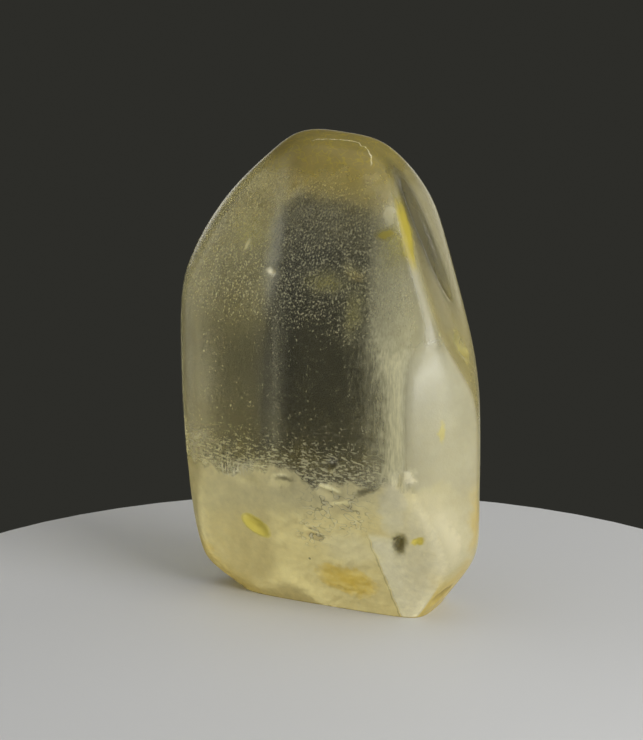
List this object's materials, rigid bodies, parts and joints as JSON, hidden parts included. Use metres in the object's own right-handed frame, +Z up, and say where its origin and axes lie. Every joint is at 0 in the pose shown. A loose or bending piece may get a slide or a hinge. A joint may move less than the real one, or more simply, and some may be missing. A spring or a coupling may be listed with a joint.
{
  "type": "raw topaz crystal",
  "caption": "Water-worn natural topaz crystal, pale yellow and see-through, with rounded prism faces, a frosted pitted skin and a flat cleaved base that it stands on.",
  "frame": {"origin": "under the middle of the crystal's bounding box, on the plane of its cleaved base", "axes": "+Z up along the crystal's long axis, -Y towards the front that the picture shows, +X to the right seen from the front"},
  "size_m": [0.0214, 0.0182, 0.0341],
  "materials": {
    "topaz": "clear pale yellow crystal with a frosted, pitted, water-worn skin and yellow iron stains in its pits"
  },
  "bodies": {
    "root": {"topaz_crystal": "topaz"}
  },
  "joints": []
}
